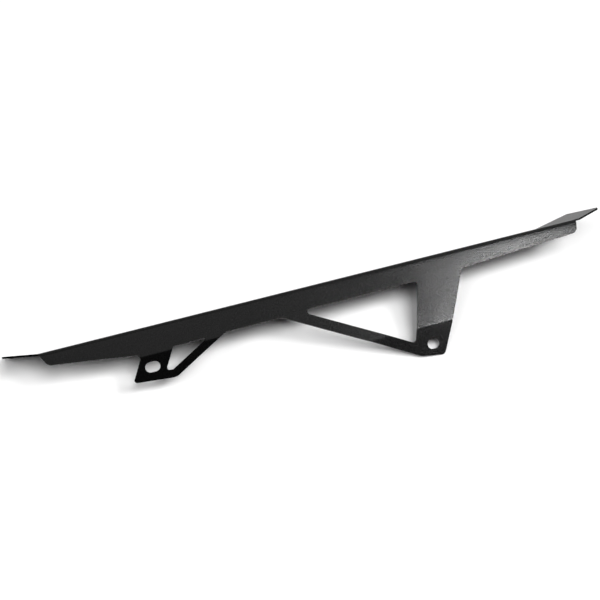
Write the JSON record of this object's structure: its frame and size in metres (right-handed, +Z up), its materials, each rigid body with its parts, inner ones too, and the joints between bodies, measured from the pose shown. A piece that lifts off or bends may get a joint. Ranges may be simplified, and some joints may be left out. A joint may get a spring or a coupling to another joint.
{
  "type": "motorcycle chain guard",
  "caption": "Black sheet-steel motorcycle chain guard: a long flange and side web with raised ends, braced cut-outs and slotted mounting tabs.",
  "frame": {"origin": "centre of the rear slot on the rear tab's inner face, which rests on the swing arm's boss", "axes": "+X along the main fold from the narrow front end to the rear end, +Y from the web towards the wheel and along the screws' axes, +Z up as fitted"},
  "size_m": [0.534, 0.0631, 0.0907],
  "materials": {
    "coated_steel": "satin black powder coat"
  },
  "bodies": {
    "root": {"chain_guard": "coated_steel"}
  },
  "joints": []
}
